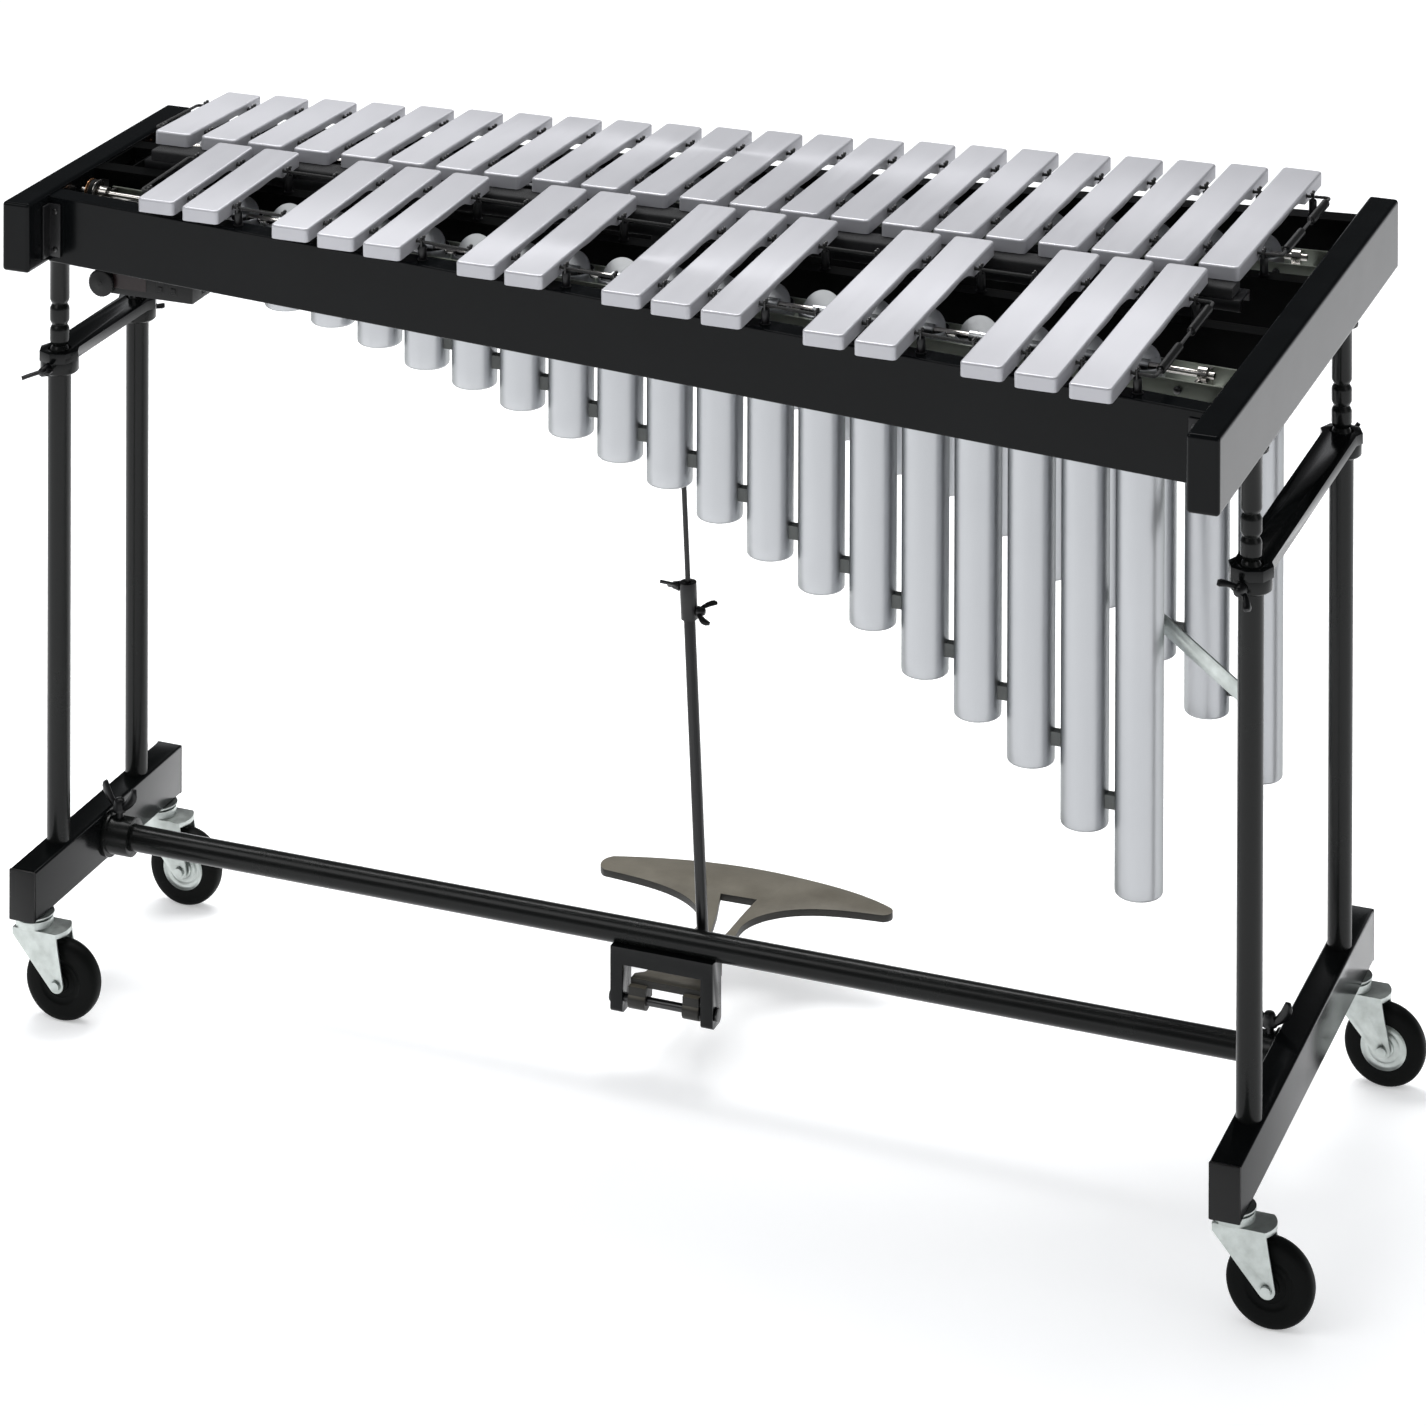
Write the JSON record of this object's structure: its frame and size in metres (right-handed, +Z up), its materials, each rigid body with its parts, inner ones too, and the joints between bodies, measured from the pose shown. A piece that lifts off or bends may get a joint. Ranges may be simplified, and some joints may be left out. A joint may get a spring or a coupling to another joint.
{
  "type": "vibraphone",
  "caption": "Metal-bar keyboard percussion on a wheeled stand, with tuned resonator tubes, motor-driven fans, a felt damper bar and a foot pedal.",
  "frame": {"origin": "on the floor, under the middle of the whole outline, casters included", "axes": "+X towards the bass end, -Y the audience side, +Y the player's side, +Z up"},
  "size_m": [1.289, 0.659, 0.8075],
  "materials": {
    "black_rail": "hardwood rail, satin black lacquer",
    "black_frame": "satin black lacquer",
    "black_gloss": "glossy black enamel",
    "bar_aluminium": "satin lavender-grey anodised",
    "tube_aluminium": "brushed silver anodised",
    "strip_aluminium": "satin grey",
    "zinc": "bright zinc plated",
    "steel": "polished shaft",
    "black_steel": "black oxide",
    "fan_plate": "bright sheet",
    "brass": "copper-coloured",
    "felt": "pressed wool felt, dark grey",
    "cord": "braided black cord",
    "rubber": "black",
    "plastic": "black moulded",
    "cast_pedal": "dark bronze-grey casting",
    "wheel": "solid black tyre on a steel centre"
  },
  "bodies": {
    "base": {"feet": "black_frame", "foot_caps": "plastic", "lower_legs": "black_gloss", "leg_braces": "black_frame", "leg_collars": "black_gloss", "stretcher_tube": "black_gloss", "stretcher_sockets": "black_gloss", "socket_wing_bolts": "black_steel", "pedal_bracket": "black_gloss", "pedal_pin": "steel", "caster_plates": "zinc"},
    "table": {"front_rail": "black_rail", "back_rail": "black_rail", "treble_end_rail": "black_rail", "bass_end_rail": "black_rail", "inner_rails": "black_rail", "frame_brackets": "black_steel", "frame_screws": "steel", "upper_legs": "black_gloss", "natural_bars": "bar_aluminium", "accidental_bars": "bar_aluminium", "cord_posts": "black_steel", "bar_cords": "cord", "cord_springs": "black_steel", "front_resonators": "tube_aluminium", "back_resonators": "tube_aluminium", "tube_spacers": "rubber", "bank_rails": "strip_aluminium", "shaft_bearings": "brass", "motor_box": "plastic", "drive_belts": "rubber", "stay_bar": "zinc", "damper_guides": "black_steel"},
    "front_fan": {"front_fan_shaft": "steel", "front_fans": "fan_plate", "front_pulley": "brass"},
    "back_fan": {"back_fan_shaft": "steel", "back_fans": "fan_plate", "back_pulley": "brass"},
    "motor": {"motor_pulley": "steel"},
    "knob": {"speed_knob": "plastic"},
    "damper": {"damper_bar": "black_steel", "damper_felt": "felt"},
    "pedal": {"pedal": "cast_pedal"},
    "lower_rod": {"lower_rod": "black_steel"},
    "upper_rod": {"upper_rod": "black_steel"},
    "rod_bolt_1": {"rod_wing_bolt_1": "black_steel"},
    "rod_bolt_2": {"rod_wing_bolt_2": "black_steel"},
    "collar_bolt_1": {"collar_wing_bolt_1": "black_steel"},
    "fork_1": {"caster_1_fork": "zinc"},
    "wheel_1": {"caster_1_wheel": "wheel"},
    "collar_bolt_2": {"collar_wing_bolt_2": "black_steel"},
    "fork_2": {"caster_2_fork": "zinc"},
    "wheel_2": {"caster_2_wheel": "wheel"},
    "collar_bolt_3": {"collar_wing_bolt_3": "black_steel"},
    "fork_3": {"caster_3_fork": "zinc"},
    "wheel_3": {"caster_3_wheel": "wheel"},
    "collar_bolt_4": {"collar_wing_bolt_4": "black_steel"},
    "fork_4": {"caster_4_fork": "zinc"},
    "wheel_4": {"caster_4_wheel": "wheel"}
  },
  "joints": [
    {"name": "height_adjust", "type": "slide", "parent": "base", "child": "table", "axis": [0, 0, 1], "range_m": [-0.06, 0.06]},
    {"name": "motor_spin", "type": "hinge", "parent": "table", "child": "motor", "pos_m": [-0.58385, -0.075, 0.712], "axis": [1, 0, 0], "continuous": true},
    {"name": "front_fan_spin", "type": "hinge", "parent": "table", "child": "front_fan", "pos_m": [-0.02385, -0.1124, 0.77], "axis": [0.9972, -0.0752, 0], "continuous": true},
    {"name": "back_fan_spin", "type": "hinge", "parent": "table", "child": "back_fan", "pos_m": [-0.02385, 0.13215, 0.77], "axis": [0.9972, 0.0745, 0], "continuous": true},
    {"name": "speed_turn", "type": "hinge", "parent": "table", "child": "knob", "pos_m": [-0.55335, -0.12, 0.704], "axis": [0, -1, 0], "range_deg": [-135, 135]},
    {"name": "pedal_press", "type": "hinge", "parent": "base", "child": "pedal", "pos_m": [-0.02385, -0.008, 0.062], "axis": [-1, 0, 0], "range_deg": [0, 12], "stiffness_Nm_per_rad": 10, "springref_deg": -34.38},
    {"name": "damper_lower", "type": "slide", "parent": "table", "child": "damper", "axis": [0, 0, 1], "range_m": [-0.007, 0]},
    {"name": "lower_rod_pull", "type": "slide", "parent": "base", "child": "lower_rod", "axis": [0, 0, 1], "range_m": [-0.007, 0]},
    {"name": "rod_telescope", "type": "slide", "parent": "lower_rod", "child": "upper_rod", "axis": [-0.0401, -0.0204, 0.999], "range_m": [-0.061, 0.061]},
    {"name": "rod_bolt_1_turn", "type": "hinge", "parent": "lower_rod", "child": "rod_bolt_1", "pos_m": [-0.01907, 0.01625, 0.44344], "axis": [-1, 0, 0], "range_deg": [-90, 90]},
    {"name": "rod_bolt_2_turn", "type": "hinge", "parent": "lower_rod", "child": "rod_bolt_2", "pos_m": [-0.00223, 0.01668, 0.42246], "axis": [1, 0, 0], "range_deg": [-90, 90]},
    {"name": "collar_bolt_1_turn", "type": "hinge", "parent": "base", "child": "collar_bolt_1", "pos_m": [-0.62606, -0.09682, 0.603], "axis": [-0.1736, -0.9848, 0], "range_deg": [-90, 90]},
    {"name": "collar_bolt_2_turn", "type": "hinge", "parent": "base", "child": "collar_bolt_2", "pos_m": [-0.62606, 0.09682, 0.603], "axis": [-0.1736, 0.9848, 0], "range_deg": [-90, 90]},
    {"name": "collar_bolt_3_turn", "type": "hinge", "parent": "base", "child": "collar_bolt_3", "pos_m": [0.56994, -0.18292, 0.603], "axis": [-0.1736, -0.9848, 0], "range_deg": [-90, 90]},
    {"name": "collar_bolt_4_turn", "type": "hinge", "parent": "base", "child": "collar_bolt_4", "pos_m": [0.56994, 0.18292, 0.603], "axis": [-0.1736, 0.9848, 0], "range_deg": [-90, 90]},
    {"name": "caster_1_swivel", "type": "hinge", "parent": "base", "child": "fork_1", "pos_m": [-0.62285, -0.125, 0.09], "axis": [0, 0, 1], "continuous": true},
    {"name": "wheel_1_roll", "type": "hinge", "parent": "fork_1", "child": "wheel_1", "pos_m": [-0.59085, -0.125, 0.038], "axis": [0, 1, 0], "continuous": true},
    {"name": "caster_2_swivel", "type": "hinge", "parent": "base", "child": "fork_2", "pos_m": [-0.62285, 0.125, 0.09], "axis": [0, 0, 1], "continuous": true},
    {"name": "wheel_2_roll", "type": "hinge", "parent": "fork_2", "child": "wheel_2", "pos_m": [-0.59085, 0.125, 0.038], "axis": [0, 1, 0], "continuous": true},
    {"name": "caster_3_swivel", "type": "hinge", "parent": "base", "child": "fork_3", "pos_m": [0.57315, -0.214, 0.09], "axis": [0, 0, 1], "continuous": true},
    {"name": "wheel_3_roll", "type": "hinge", "parent": "fork_3", "child": "wheel_3", "pos_m": [0.60515, -0.214, 0.038], "axis": [0, 1, 0], "continuous": true},
    {"name": "caster_4_swivel", "type": "hinge", "parent": "base", "child": "fork_4", "pos_m": [0.57315, 0.214, 0.09], "axis": [0, 0, 1], "continuous": true},
    {"name": "wheel_4_roll", "type": "hinge", "parent": "fork_4", "child": "wheel_4", "pos_m": [0.60515, 0.214, 0.038], "axis": [0, 1, 0], "continuous": true}
  ],
  "couplings": [
    {"joint": "front_fan_spin", "follows": "motor_spin", "ratio": 0.73684},
    {"joint": "back_fan_spin", "follows": "motor_spin", "ratio": 0.73684},
    {"joint": "damper_lower", "follows": "pedal_press", "m_per_rad": -0.0319},
    {"joint": "lower_rod_pull", "follows": "pedal_press", "m_per_rad": -0.0319},
    {"joint": "rod_telescope", "follows": "height_adjust", "ratio": 1.001}
  ]
}
